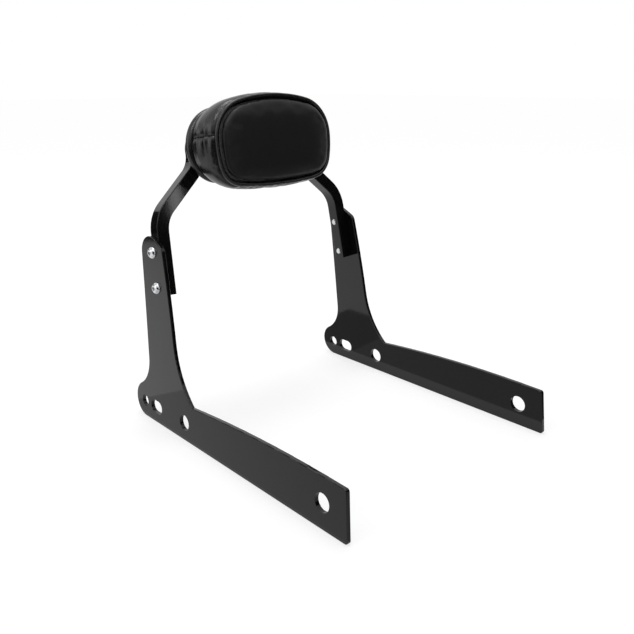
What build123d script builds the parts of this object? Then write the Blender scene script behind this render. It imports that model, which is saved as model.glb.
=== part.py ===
"""Motorcycle sissy bar with a backrest pad, in millimetres.

Two flat side plates carry a bent square bar, the hoop, and an oval pad is screwed to the hoop's front.
+X points to the rider's left, +Y to the rear, +Z up. The origin lies on the ground under the middle
of the plates' length, half way between them. The left side is modelled and mirrored to the right.
"""
from build123d import *
import math
import os

# Side plates, seen from the side: heights are above the plate's bottom edge
OUTER_WIDTH = 330.0
PLATE_LENGTH = 384.0
PLATE_THICKNESS = 4.8
PLATE_LEAN_ANGLE = 2.9
PLATE_EDGE_RADIUS = 0.8

# Places on the arm as (distance behind the plate's front end, height)
ARM_FRONT_TOP = (5.2, 54.5)
ARM_CROWN = (80.0, 55.4)
ARM_FRONT_CORNER_RADIUS = 3.5

# Places at the upright as (distance behind the lobe's middle, height)
LOBE_RADIUS = 22.0
NECK_RADIUS = 41.0
INNER_CORNER = (-104.5, 45.7)
UPRIGHT_REAR_FOOT = -13.8
UPRIGHT_REAR_MIDDLE = (-6.8, 132.4)
UPRIGHT_TOP_REAR = (2.5, 243.1)
UPRIGHT_TOP_FRONT = (-45.4, 220.6)
UPRIGHT_FRONT_MIDDLE = (-57.7, 165.0)
UPRIGHT_FLARE = (-67.4, 111.8)
TOP_REAR_RADIUS = 19.0
TOP_FRONT_RADIUS = 11.0

# Holes for the motorcycle's own bolts: place as above, height, diameter
FRONT_HOLE = (36.0, 27.8, 20.0)
MIDDLE_HOLE = (-88.5, 22.1, 19.2)
REAR_HOLE = (1.0, 20.4, 14.2)
SLOT_PLACE = (-25.7, 20.4)
SLOT_WIDTH = 16.4
SLOT_LENGTH = 25.2

# Hoop: a bent square bar between the plates
BAR = 16.0
BAR_EDGE_RADIUS = 1.0
HOOP_LEAN_ANGLE = 10.8
HOOP_SIDE_CLEARANCE = 0.1
HOOP_TAIL = 9.5
KNEE_RISE = 39.0
KNEE_RADIUS = 40.0
HOOP_TOP_HALF_WIDTH = 77.7
SHOULDER_RISE = 54.5
SHOULDER_RADIUS = 35.0
HOOP_TOP_RISE = 92.0
HOOP_TOP_RADIUS = 20.0

# Screws that hold the hoop to the plates: M8 button heads, place behind the lobe's middle, height
UPPER_SCREW = (-25.8, 212.7)
SCREW_PITCH = 41.2
HOOP_SCREW = {"thread": 8.0, "head": 14.0, "height": 4.4, "socket": 5.0, "socket_depth": 2.6}
HOOP_SCREW_PROUD = 1.0
SCREW_HOLE_CLEARANCE = 0.4
THREAD_CLEARANCE = 0.1

# Button head's profile and tip, as shares of its own sizes
CROWN_SHARE = 0.75
DOME_SHARES = (0.83, 0.66)
RIM_SHARE = 0.12
TIP_SHARE = 0.2
SOCKET_SIDES = 6

# Plate welded between the hoop's uprights, which the pad is screwed to
MOUNT_PLATE_THICKNESS = 4.0
MOUNT_PLATE_HEIGHT = 44.0
WELD_CLEARANCE = 0.1

# Pad outline, at the front seam, and the layers along its depth, counted forward from the hoop
PAD_OVERHANG = 11.4
PAD_HALF_HEIGHT = 48.8
PAD_CORNER_RADIUS = 40.0
PAD_TOP_BOW = 11.0
PAD_SIDE_BOW = 9.0
PAD_RISE = 74.8
REAR_COVER_THICKNESS = 1.2
BOARD_THICKNESS = 9.0
BOARD_INSET = 13.0
REAR_ROLL_DEPTH = 13.0
REAR_ROLL_INSET = 2.0
REAR_ROLL_BULGE = 4.5
BAND_DEPTH = 38.5
BAND_BULGE = 6.8
BAND_THICKNESS = 2.0
SIDE_SEAM_LIFT = 8.2
BORDER_ROLL_WIDTH = 8.5
PANEL_HEIGHT = 7.5
PANEL_ROUND = 6.0
SOFT_CLEARANCE = 0.3
LAYER_STEPS = 4

# Pad screws, M6, with washers and flanged insert nuts in the board
PAD_SCREW = {"thread": 6.0, "head": 10.5, "height": 3.3, "socket": 4.0, "socket_depth": 2.1}
PAD_SCREW_LENGTH = 16.0
PAD_SCREW_INSET = 36.7
PAD_SCREW_SPACING_Z = 20.0
PAD_SCREW_DROP = 11.0
WASHER_DIAMETER = 12.0
WASHER_THICKNESS = 1.4
INSERT_DIAMETER = 8.4
INSERT_FLANGE_DIAMETER = 18.0
INSERT_FLANGE_THICKNESS = 1.4

# Largest thickness along X that an edge may have to count as lying in one face of the plate
FLAT_EDGE_LIMIT = 1e-6


def sin_of(degrees):
    """Sine of an angle in degrees."""
    return math.sin(math.radians(degrees))


def cos_of(degrees):
    """Cosine of an angle in degrees."""
    return math.cos(math.radians(degrees))


def plate_frame():
    """Frame of the left plate: X out from its outer face, Y to the rear, Z up along the plate.

    The inner bottom edge is the lowest, so the frame is raised until that edge is on the ground.
    """
    rise = PLATE_THICKNESS * sin_of(PLATE_LEAN_ANGLE)
    return Location((OUTER_WIDTH / 2, 0, rise)) * Rotation(0, -PLATE_LEAN_ANGLE, 0)


def on_arm(place):
    """Point (Y, height) on the plate from one measured behind its front end."""
    return (place[0] - PLATE_LENGTH / 2, place[1])


def at_upright(place):
    """Point (Y, height) on the plate from one measured behind the lobe's middle."""
    return (place[0] + PLATE_LENGTH / 2 - LOBE_RADIUS, place[1])


def leg_place(distance):
    """Point (Y, height) on the plate behind the leg's centre line, this far above the upper screw."""
    upper_y, upper_height = at_upright(UPPER_SCREW)
    return (upper_y + distance * sin_of(HOOP_LEAN_ANGLE), upper_height + distance * cos_of(HOOP_LEAN_ANGLE))


def screw_places():
    """Places (Y, height) of the upper and lower hoop screw on the plate, along the hoop's leg."""
    return {"upper": leg_place(0), "lower": leg_place(-SCREW_PITCH)}


def leg_depth():
    """Distance of the hoop leg's centre line from the plate's outer face."""
    return PLATE_THICKNESS + HOOP_SIDE_CLEARANCE + BAR / 2


def leg_point(distance):
    """Point on the left leg's centre line, this far above the upper screw along the leg."""
    place_y, height = leg_place(distance)
    return (plate_frame() * Location((-leg_depth(), place_y, height))).position


def hoop_plane():
    """Plane of the bent bar: its origin is half way between the knees, its normal points forward."""
    knee = leg_point(KNEE_RISE)
    along_leg = knee - leg_point(0)
    up = Vector(0, along_leg.Y, along_leg.Z).normalized()
    return Plane(origin=(0, knee.Y, knee.Z), x_dir=(1, 0, 0), z_dir=Vector(1, 0, 0).cross(up))


def plate_outline():
    """Side plate's face: a long arm and an upright with a round lobe at their foot."""
    arm_bottom = on_arm((0, 0))
    arm_top = on_arm(ARM_FRONT_TOP)
    lobe_middle = at_upright((0, LOBE_RADIUS))
    rear_foot = at_upright((UPRIGHT_REAR_FOOT, LOBE_RADIUS))
    top_rear = at_upright(UPRIGHT_TOP_REAR)
    top_front = at_upright(UPRIGHT_TOP_FRONT)
    flare = at_upright(UPRIGHT_FLARE)
    inner_corner = at_upright(INNER_CORNER)
    front_edge = ThreePointArc(top_front, at_upright(UPRIGHT_FRONT_MIDDLE), flare)
    face = make_face([
        Polyline(arm_bottom, at_upright((0, 0)), lobe_middle, rear_foot),
        ThreePointArc(rear_foot, at_upright(UPRIGHT_REAR_MIDDLE), top_rear),
        Line(top_rear, top_front),
        front_edge,
        TangentArc(flare, inner_corner, tangent=front_edge % 1),
        ThreePointArc(inner_corner, on_arm(ARM_CROWN), arm_top),
        Line(arm_top, arm_bottom),
    ])
    face += Pos(*lobe_middle) * Circle(LOBE_RADIUS)
    neck = at_upright((UPRIGHT_REAR_FOOT, 2 * LOBE_RADIUS))
    corners = [
        (neck, NECK_RADIUS),
        (top_rear, TOP_REAR_RADIUS),
        (top_front, TOP_FRONT_RADIUS),
        (arm_top, ARM_FRONT_CORNER_RADIUS),
        (arm_bottom, ARM_FRONT_CORNER_RADIUS),
    ]
    for corner, radius in corners:
        face = fillet(face.vertices().sort_by_distance(corner)[:1], radius)
    return face


def plate_holes():
    """Round holes of the plate as (Y, height, radius)."""
    front_y, front_height = on_arm(FRONT_HOLE[:2])
    holes = [(front_y, front_height, FRONT_HOLE[2] / 2)]
    for hole in (MIDDLE_HOLE, REAR_HOLE):
        holes.append((*at_upright(hole[:2]), hole[2] / 2))
    screw_hole_radius = HOOP_SCREW["thread"] / 2 + SCREW_HOLE_CLEARANCE
    for place in screw_places().values():
        holes.append((*place, screw_hole_radius))
    return holes


def make_plate():
    """Left side plate in its own frame, outer face at X = 0."""
    side = Plane(origin=(-PLATE_THICKNESS, 0, 0), x_dir=(0, 1, 0), z_dir=(1, 0, 0))
    plate = extrude(side * plate_outline(), PLATE_THICKNESS)
    rim = plate.edges().filter_by(lambda edge: edge.bounding_box().size.X < FLAT_EDGE_LIMIT)
    plate = fillet(rim, PLATE_EDGE_RADIUS)
    for place_y, height, radius in plate_holes():
        plate -= extrude(side * Pos(place_y, height) * Circle(radius), PLATE_THICKNESS)
    slot = side * Pos(*at_upright(SLOT_PLACE)) * SlotOverall(SLOT_LENGTH, SLOT_WIDTH)
    return plate - extrude(slot, PLATE_THICKNESS)


def screw_axis(place):
    """Location of a left hoop screw on the plate's outer face, pointing inwards."""
    place_y, height = place
    local = Plane(origin=(0, place_y, height), x_dir=(0, 1, 0), z_dir=(-1, 0, 0))
    return plate_frame() * local.location


def make_hoop():
    """Square bar bent in at the knees, up at the shoulders and across the top, drilled for its screws."""
    plane = hoop_plane()
    foot = plane.to_local_coords(leg_point(-SCREW_PITCH - HOOP_TAIL))
    knee = plane.to_local_coords(leg_point(KNEE_RISE))
    half = [
        (foot.X, foot.Y),
        (knee.X, knee.Y),
        (HOOP_TOP_HALF_WIDTH, SHOULDER_RISE),
        (HOOP_TOP_HALF_WIDTH, HOOP_TOP_RISE),
    ]
    points = half + [(-x, y) for x, y in reversed(half)]
    radii = [KNEE_RADIUS, SHOULDER_RADIUS, HOOP_TOP_RADIUS]
    path = plane * FilletPolyline(*points, radius=radii + radii[::-1])
    section_plane = Plane(origin=path @ 0, x_dir=plane.z_dir, z_dir=path % 0)
    bar = sweep(section_plane * RectangleRounded(BAR, BAR, BAR_EDGE_RADIUS), path=path)
    hole_radius = HOOP_SCREW["thread"] / 2 + THREAD_CLEARANCE
    for place in screw_places().values():
        drill = extrude(screw_axis(place) * Circle(hole_radius), PLATE_THICKNESS + 2 * BAR)
        bar -= drill
        bar -= mirror(drill, about=Plane.YZ)
    return bar


def make_screw(size, length):
    """Button-head socket screw standing on its tip's side: the head's underside at Z = 0, shank up."""
    head_radius = size["head"] / 2
    thread_radius = size["thread"] / 2
    crown = (size["socket"] * CROWN_SHARE, -size["height"])
    dome = (head_radius * DOME_SHARES[0], -size["height"] * DOME_SHARES[1])
    rim = (head_radius, -size["height"] * RIM_SHARE)
    tip_chamfer = thread_radius * TIP_SHARE
    profile = make_face([
        Line((0, -size["height"]), crown),
        ThreePointArc(crown, dome, rim),
        Line(rim, (head_radius, 0)),
        Line((head_radius, 0), (thread_radius, 0)),
        Line((thread_radius, 0), (thread_radius, length - tip_chamfer)),
        Line((thread_radius, length - tip_chamfer), (thread_radius - tip_chamfer, length)),
        Line((thread_radius - tip_chamfer, length), (0, length)),
        Line((0, length), (0, -size["height"])),
    ])
    screw = revolve(Plane.XZ * profile, Axis.Z)
    socket = RegularPolygon(size["socket"] / 2, SOCKET_SIDES, major_radius=False)
    screw -= extrude(Pos(0, 0, -size["height"]) * socket, size["socket_depth"])
    return screw


def make_hoop_screws():
    """Left hoop screws, upper and lower, with their heads on the plate's outer face."""
    length = leg_depth() + BAR / 2 + HOOP_SCREW_PROUD
    screw = make_screw(HOOP_SCREW, length)
    return {name: screw_axis(place) * screw for name, place in screw_places().items()}


def pad_outline(grow):
    """Pad's oval, larger than the front seam by this much all round: four bowed sides, round corners."""
    half_width = HOOP_TOP_HALF_WIDTH + PAD_OVERHANG + grow
    half_height = PAD_HALF_HEIGHT + grow
    corner_x = half_width - PAD_SIDE_BOW
    corner_y = half_height - PAD_TOP_BOW
    face = make_face([
        ThreePointArc((-corner_x, corner_y), (0, half_height), (corner_x, corner_y)),
        ThreePointArc((corner_x, corner_y), (half_width, 0), (corner_x, -corner_y)),
        ThreePointArc((corner_x, -corner_y), (0, -half_height), (-corner_x, -corner_y)),
        ThreePointArc((-corner_x, -corner_y), (-half_width, 0), (-corner_x, corner_y)),
    ])
    return fillet(face.vertices(), PAD_CORNER_RADIUS + grow)


def pad_plane(depth):
    """Plane across the pad, this far forward of the hoop's front face."""
    plane = hoop_plane()
    return Plane(origin=plane.origin + plane.y_dir * PAD_RISE + plane.z_dir * (BAR / 2 + depth),
                 x_dir=plane.x_dir, z_dir=plane.z_dir)


def pad_axis():
    """Axis forward through the pad's middle."""
    plane = pad_plane(0)
    return Axis(plane.origin, plane.z_dir)


def pad_slab(depth, thickness, grow):
    """Flat oval layer of the pad."""
    return extrude(pad_plane(depth) * pad_outline(grow), thickness)


def pad_loft(sections):
    """Smooth pad layer through ovals given as (depth, grow)."""
    return loft([pad_plane(depth) * pad_outline(grow) for depth, grow in sections])


def front_seam():
    """Depth of the seam between the side band and the front border."""
    return REAR_ROLL_DEPTH + BAND_DEPTH


def bulging_sections(start, depth, bulge, rear_inset, inset):
    """Ovals (depth, grow) of a skin that bulges between its seams, moved in by this much."""
    sections = []
    for step in range(LAYER_STEPS + 1):
        share = step / LAYER_STEPS
        outward = bulge * (1 - (2 * share - 1) ** 2) - rear_inset * (1 - share)
        sections.append((start + depth * share, outward - inset))
    return sections


def band_sections(inset):
    """Ovals of the side band, moved in by this much."""
    return bulging_sections(REAR_ROLL_DEPTH, BAND_DEPTH, BAND_BULGE, 0, inset)


def screw_spots():
    """Names and places of the four pad screws, across and along the pad."""
    half_x = HOOP_TOP_HALF_WIDTH - PAD_SCREW_INSET
    half_z = PAD_SCREW_SPACING_Z / 2
    upper = half_z - PAD_SCREW_DROP
    lower = -half_z - PAD_SCREW_DROP
    return {
        "left_upper": (half_x, upper),
        "left_lower": (half_x, lower),
        "right_upper": (-half_x, upper),
        "right_lower": (-half_x, lower),
    }


def pad_drill(start, end, radius):
    """Four holes or pockets at the pad's screws, from one depth to another."""
    plane = pad_plane(start)
    circles = [plane * Pos(*spot) * Circle(radius) for spot in screw_spots().values()]
    return [extrude(circle, end - start) for circle in circles]


def make_mount_plate():
    """Flat plate welded inside the top of the hoop, flush with its front face."""
    half_width = HOOP_TOP_HALF_WIDTH - BAR / 2 - WELD_CLEARANCE
    top = HOOP_TOP_RISE - BAR / 2 - WELD_CLEARANCE
    middle = top - MOUNT_PLATE_HEIGHT / 2
    sheet = Pos(0, middle) * Rectangle(2 * half_width, MOUNT_PLATE_HEIGHT)
    corners = sheet.vertices().group_by(Axis.Y)[-1]
    sheet = fillet(corners, HOOP_TOP_RADIUS - BAR / 2)
    plane = hoop_plane()
    rear = Plane(origin=plane.origin + plane.z_dir * (BAR / 2 - MOUNT_PLATE_THICKNESS),
                 x_dir=plane.x_dir, z_dir=plane.z_dir)
    plate = extrude(rear * sheet, MOUNT_PLATE_THICKNESS)
    hole_radius = PAD_SCREW["thread"] / 2 + SCREW_HOLE_CLEARANCE
    plate -= pad_drill(-MOUNT_PLATE_THICKNESS, 0, hole_radius)
    return plate


def make_rear_cover():
    """Cloth over the board's rear, holed for the screws."""
    cover = pad_slab(0, REAR_COVER_THICKNESS, -BOARD_INSET)
    hole_radius = PAD_SCREW["thread"] / 2 + SCREW_HOLE_CLEARANCE
    cover -= pad_drill(0, REAR_COVER_THICKNESS, hole_radius)
    return cover


def make_board():
    """Stiff base board with holes for the insert nuts."""
    board = pad_slab(REAR_COVER_THICKNESS, BOARD_THICKNESS, -BOARD_INSET)
    end = REAR_COVER_THICKNESS + BOARD_THICKNESS
    board -= pad_drill(REAR_COVER_THICKNESS, end, INSERT_DIAMETER / 2 + THREAD_CLEARANCE)
    return board


def make_rear_roll():
    """Rounded roll along the pad's rear edge, between the board and the side band."""
    outer = pad_loft(bulging_sections(0, REAR_ROLL_DEPTH, REAR_ROLL_BULGE, REAR_ROLL_INSET, 0))
    hollow = pad_slab(0, REAR_ROLL_DEPTH, -BOARD_INSET + SOFT_CLEARANCE)
    return outer - hollow


def make_band():
    """Upper and lower half of the side band, which meet at a seam on each side."""
    band = pad_loft(band_sections(0)) - pad_loft(band_sections(BAND_THICKNESS))
    seam = pad_plane(REAR_ROLL_DEPTH)
    square = Rectangle(OUTER_WIDTH, OUTER_WIDTH)
    upper_box = extrude(seam * Pos(0, SIDE_SEAM_LIFT + OUTER_WIDTH / 2) * square, BAND_DEPTH)
    lower_box = extrude(seam * Pos(0, SIDE_SEAM_LIFT - OUTER_WIDTH / 2) * square, BAND_DEPTH)
    return band & upper_box, band & lower_box


def make_foam():
    """Foam core from the board to the front seam, with pockets over the insert nuts' flanges."""
    board_front = REAR_COVER_THICKNESS + BOARD_THICKNESS
    core = pad_loft(band_sections(BAND_THICKNESS + SOFT_CLEARANCE))
    core += pad_slab(board_front, REAR_ROLL_DEPTH - board_front, -BOARD_INSET)
    pocket_end = board_front + INSERT_FLANGE_THICKNESS + SOFT_CLEARANCE
    core -= pad_drill(board_front, pocket_end, INSERT_FLANGE_DIAMETER / 2 + SOFT_CLEARANCE)
    return core


def make_border_roll():
    """Stuffed roll round the front panel, from the front seam inwards."""
    seam = front_seam()
    radius = BORDER_ROLL_WIDTH / 2
    sections = []
    for step in range(LAYER_STEPS + 1):
        angle = 90 * step / LAYER_STEPS
        sections.append((seam + radius * sin_of(angle), -radius * (1 - cos_of(angle))))
    outer = pad_loft(sections)
    hollow = pad_slab(seam, BORDER_ROLL_WIDTH, -BORDER_ROLL_WIDTH)
    return outer - hollow


def make_front_panel():
    """Front panel inside the border roll, with a softly rounded edge."""
    panel = pad_slab(front_seam(), PANEL_HEIGHT, -BORDER_ROLL_WIDTH - SOFT_CLEARANCE)
    front_edge = panel.faces().sort_by(pad_axis())[-1].edges()
    return fillet(front_edge, PANEL_ROUND)


def make_pad_fasteners():
    """Screws, washers and insert nuts of the pad."""
    pieces = {}
    bearing = -MOUNT_PLATE_THICKNESS - WASHER_THICKNESS
    board_front = REAR_COVER_THICKNESS + BOARD_THICKNESS
    screw = make_screw(PAD_SCREW, PAD_SCREW_LENGTH)
    washer_hole = PAD_SCREW["thread"] / 2 + SCREW_HOLE_CLEARANCE
    nut_hole = PAD_SCREW["thread"] / 2 + THREAD_CLEARANCE
    washer = extrude(Circle(WASHER_DIAMETER / 2) - Circle(washer_hole), WASHER_THICKNESS)
    barrel = extrude(Circle(INSERT_DIAMETER / 2) - Circle(nut_hole), BOARD_THICKNESS)
    flange = extrude(Circle(INSERT_FLANGE_DIAMETER / 2) - Circle(nut_hole), INSERT_FLANGE_THICKNESS)
    insert = barrel + Pos(0, 0, BOARD_THICKNESS) * flange
    for name, spot in screw_spots().items():
        pieces["pad_screw_" + name] = pad_plane(bearing) * Pos(*spot) * screw
        pieces["pad_washer_" + name] = pad_plane(bearing) * Pos(*spot) * washer
        pieces["pad_insert_" + name] = pad_plane(REAR_COVER_THICKNESS) * Pos(*spot) * insert
    return pieces


def make_parts():
    """Every node of the sissy bar, by name."""
    left_plate = plate_frame() * make_plate()
    band_upper, band_lower = make_band()
    nodes = {
        "side_plate_left": left_plate,
        "side_plate_right": mirror(left_plate, about=Plane.YZ),
        "hoop_bar": make_hoop(),
        "pad_mount_plate": make_mount_plate(),
        "pad_rear_cover": make_rear_cover(),
        "pad_board": make_board(),
        "pad_rear_roll": make_rear_roll(),
        "pad_band_upper": band_upper,
        "pad_band_lower": band_lower,
        "pad_foam": make_foam(),
        "pad_border_roll": make_border_roll(),
        "pad_front_panel": make_front_panel(),
    }
    for name, screw in make_hoop_screws().items():
        nodes["hoop_screw_left_" + name] = screw
        nodes["hoop_screw_right_" + name] = mirror(screw, about=Plane.YZ)
    nodes.update(make_pad_fasteners())
    return nodes


if __name__ == "__main__":
    os.makedirs("parts", exist_ok=True)
    for name, shape in make_parts().items():
        export_step(shape, "parts/" + name + ".step")
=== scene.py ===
"""Looks of the motorcycle sissy bar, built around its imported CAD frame.

Metres, +X to the rider's left, +Y to the rear, +Z up. The steel pieces and the fasteners keep their CAD
shapes and get their finishes here. The pad's soft pieces are built here, stuffed by a short cloth
simulation and sewn, and they replace their CAD solids.
"""

import logging
import math
from dataclasses import dataclass, field
from enum import Enum

import bpy
import numpy as np
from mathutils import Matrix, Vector


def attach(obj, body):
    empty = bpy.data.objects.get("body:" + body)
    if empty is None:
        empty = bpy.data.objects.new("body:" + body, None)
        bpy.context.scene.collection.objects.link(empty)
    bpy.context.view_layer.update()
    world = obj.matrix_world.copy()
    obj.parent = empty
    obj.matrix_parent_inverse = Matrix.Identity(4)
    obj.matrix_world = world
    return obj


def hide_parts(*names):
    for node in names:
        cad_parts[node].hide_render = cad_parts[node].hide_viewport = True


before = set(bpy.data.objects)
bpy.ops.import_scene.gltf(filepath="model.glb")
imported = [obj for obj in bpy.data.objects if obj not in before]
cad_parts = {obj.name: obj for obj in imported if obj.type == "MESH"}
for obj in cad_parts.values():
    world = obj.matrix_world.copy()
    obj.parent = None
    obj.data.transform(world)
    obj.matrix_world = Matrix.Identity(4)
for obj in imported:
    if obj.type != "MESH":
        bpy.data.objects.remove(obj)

LOG = logging.getLogger("sissy_bar")
BODY = "root"
SEED = 7

Number = float | int
Colour = tuple[float, float, float, float]
Place = tuple[float, float, float]
Ring = tuple[float, float, float]


class Slot(Enum):
    """Material slots of the record."""

    STEEL = "gloss_black_steel"
    CHROME = "chrome"
    SCREW = "black_screw"
    ZINC = "zinc_steel"
    VINYL = "black_vinyl"
    CLOTH = "black_cloth"
    PLYWOOD = "plywood"
    FOAM = "grey_foam"


class ScreenKind(Enum):
    """What a flat screen of the studio does."""

    LAMP = "soft lamp"
    CARD = "dark card out of the view, which the gloss surfaces mirror"
    # Painted reflection: a glowing card that lights nothing, casts no shadow and shows only in the gloss
    # surfaces, as a painted highlight or painted shade.
    PAINTED_REFLECTION = "card of an even level that only the gloss surfaces see"


class Term:
    """Shader socket that takes part in Python sums: each operation adds a Math node."""

    def __init__(self, graph: "Graph", socket: bpy.types.NodeSocket) -> None:
        """Keeps the socket and the graph that it belongs to."""
        self.graph = graph
        self.socket = socket

    def math(self, operation: str, *others: "Term | Number", swap: bool = False) -> "Term":
        """Adds a Math node.

        Args:
            operation: the node's operation.
            others: its other values.
            swap: whether the other value comes first.

        Returns:
            The node's result.
        """
        values = [self, *others]
        if swap:
            values.reverse()
        node = self.graph.node("ShaderNodeMath", {"operation": operation}, dict(enumerate(values)))
        return Term(self.graph, node.outputs[0])

    def __add__(self, other: "Term | Number") -> "Term":
        """Sum."""
        return self.math("ADD", other)

    def __sub__(self, other: "Term | Number") -> "Term":
        """Difference."""
        return self.math("SUBTRACT", other)

    def __rsub__(self, other: Number) -> "Term":
        """Difference from a number."""
        return self.math("SUBTRACT", other, swap=True)

    def __mul__(self, other: "Term | Number") -> "Term":
        """Product."""
        return self.math("MULTIPLY", other)

    __radd__ = __add__
    __rmul__ = __mul__


class Graph:
    """Node tree that is filled by plain calls."""

    def __init__(self, tree: bpy.types.NodeTree) -> None:
        """Empties the tree."""
        self.tree = tree
        tree.nodes.clear()

    def node(self, kind: str, settings: dict | None = None, inputs: dict | None = None) -> bpy.types.Node:
        """Adds a node.

        Args:
            kind: the node's type.
            settings: its properties, set first; stops gives a colour ramp's places and colours.
            inputs: values or links of its sockets, by name or number.

        Returns:
            The node.
        """
        node = self.tree.nodes.new(kind)
        for name, value in (settings or {}).items():
            if name == "stops":
                self._ramp(node.color_ramp, value)
            else:
                setattr(node, name, value)
        for name, value in (inputs or {}).items():
            if isinstance(value, Term):
                value = value.socket
            if isinstance(value, bpy.types.NodeSocket):
                self.tree.links.new(value, node.inputs[name])
            else:
                node.inputs[name].default_value = value
        return node

    @staticmethod
    def _ramp(ramp: bpy.types.ColorRamp, stops: list[tuple[float, Colour]]) -> None:
        """Gives a colour ramp its stops, of which it has two at first.

        Args:
            ramp: the ramp.
            stops: place and colour of each stop.
        """
        while len(ramp.elements) < len(stops):
            ramp.elements.new(1.0)
        for element, (place, colour) in zip(ramp.elements, stops):
            element.position = place
            element.color = colour

    def place(self) -> bpy.types.NodeSocket:
        """Object coordinates, which every pattern follows."""
        return self.node("ShaderNodeTexCoord").outputs["Object"]

    def stretched(self, scale: Place) -> bpy.types.NodeSocket:
        """Coordinates for a pattern with a direction, scaled along each axis."""
        node = self.node("ShaderNodeMapping", {}, {"Vector": self.place(), "Scale": scale})
        return node.outputs["Vector"]

    def noise(self, scale: float, detail: float = 2.0, vector: bpy.types.NodeSocket | None = None) -> Term:
        """Noise of about 0 to 1.

        Args:
            scale: cells to the metre.
            detail: octaves of finer noise in it.
            vector: coordinates, if not the plain ones.

        Returns:
            The noise.
        """
        inputs = {"Vector": vector or self.place(), "Scale": scale, "Detail": detail}
        return Term(self, self.node("ShaderNodeTexNoise", {}, inputs).outputs["Fac"])

    def cells(self, scale: float, feature: str = "DISTANCE_TO_EDGE",
              vector: bpy.types.NodeSocket | None = None) -> Term:
        """Distances across the cells of a Voronoi pattern.

        Args:
            scale: cells to the metre.
            feature: what the distance is measured to.
            vector: coordinates, if not the plain ones.

        Returns:
            The distance.
        """
        inputs = {"Vector": vector or self.place(), "Scale": scale}
        node = self.node("ShaderNodeTexVoronoi", {"feature": feature}, inputs)
        return Term(self, node.outputs["Distance"])

    def bands(self, direction: str, scale: float, inputs: dict) -> Term:
        """Parallel waves of 0 to 1.

        Args:
            direction: the axis that they follow each other along.
            scale: their scale.
            inputs: the node's other values.

        Returns:
            The wave's height.
        """
        settings = {"wave_type": "BANDS", "bands_direction": direction}
        node = self.node("ShaderNodeTexWave", settings, {"Vector": self.place(), "Scale": scale, **inputs})
        return Term(self, node.outputs["Fac"])

    def between(self, value: Term, low: float, high: float) -> Term:
        """The value's 0 to 1 carried to low to high, clamped."""
        inputs = {"Value": value, "To Min": low, "To Max": high}
        return Term(self, self.node("ShaderNodeMapRange", {"clamp": True}, inputs).outputs[0])

    def ramp(self, value: Term, stops: list[tuple[float, Colour]]) -> bpy.types.NodeSocket:
        """Colour of a value by a ramp."""
        return self.node("ShaderNodeValToRGB", {"stops": stops}, {"Fac": value}).outputs["Color"]

    def bump(self, height: Term, distance: float, strength: float = 1.0,
             normal: bpy.types.NodeSocket | None = None) -> bpy.types.NodeSocket:
        """Bumps on a surface.

        Args:
            height: the pattern's height, 0 to 1.
            distance: metres that its full step stands for.
            strength: how much of it shows.
            normal: broader bumps that it lies on.

        Returns:
            The surface's normal.
        """
        inputs = {"Height": height, "Distance": distance, "Strength": strength}
        if normal is not None:
            inputs["Normal"] = normal
        return self.node("ShaderNodeBump", {}, inputs).outputs["Normal"]


def grey(value: float) -> Colour:
    """Opaque grey."""
    return (value, value, value, 1.0)


def new_material(name: str) -> tuple[bpy.types.Material, Graph]:
    """Makes a material with an empty node tree.

    Args:
        name: the material's name.

    Returns:
        The material, and the graph that fills it.
    """
    material = bpy.data.materials.new(name)
    material.use_nodes = True
    return material, Graph(material.node_tree)


@dataclass(frozen=True)
class Finish:
    """One named finish, which makes its material when it is first asked for.

    Args:
        name: the material's name.
        slot: the record's material slot that it stands for; not used.
    """

    name: str
    slot: Slot

    def material(self) -> bpy.types.Material:
        """The finish's material, made once.

        Returns:
            The material.
        """
        found = bpy.data.materials.get(self.name)
        if found is not None:
            return found
        made, graph = new_material(self.name)
        shader = graph.node("ShaderNodeBsdfPrincipled", {}, self.sockets(graph))
        graph.node("ShaderNodeOutputMaterial", {}, {"Surface": shader.outputs[0]})
        return made

    def sockets(self, graph: Graph) -> dict:
        """Fills the graph up to the main shader.

        Args:
            graph: the material's graph.

        Returns:
            The main shader's values and links, by socket name.
        """
        raise NotImplementedError


@dataclass(frozen=True)
class GlossPaint(Finish):
    """Gloss black powder coat: a faint orange peel, fine dust and a clear, smooth surface.

    Args:
        tone: grey level of the pigment.
        dust_scale: specks of dust to the metre.
        dust_lift: how many times lighter the dust is.
        peel_scale: cells of the orange peel to the metre.
        peel_depth: height of the orange peel in metres.
        cloud_scale: broad dull patches to the metre.
        fine_scale: fine dull spots to the metre.
        gloss: lowest roughness of the surface.
        wear: how much rougher the dull patches are.
        reflection: strength of the surface's reflection.
    """

    tone: float = 0.004
    dust_scale: float = 2600.0
    dust_lift: float = 2.2
    peel_scale: float = 220.0
    peel_depth: float = 0.000012
    cloud_scale: float = 9.0
    fine_scale: float = 900.0
    gloss: float = 0.05
    wear: float = 0.08
    reflection: float = 0.36

    def sockets(self, graph: Graph) -> dict:
        """Black, with patches that are a little duller.

        Args:
            graph: the material's graph.

        Returns:
            The main shader's values and links, by socket name.
        """
        cloud = graph.noise(self.cloud_scale, 3.0)
        fine = graph.noise(self.fine_scale, 2.0)
        peel = graph.noise(self.peel_scale, 1.5)
        dust = graph.noise(self.dust_scale, 0.0)
        dusty = grey(self.tone * self.dust_lift)
        return {
            "Base Color": graph.ramp(dust, [(0.62, grey(self.tone)), (0.80, dusty)]),
            "Roughness": graph.between(cloud * 0.7 + fine * 0.3, self.gloss, self.gloss + self.wear),
            "Specular IOR Level": self.reflection,
            "Normal": graph.bump(peel, self.peel_depth),
        }


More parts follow.
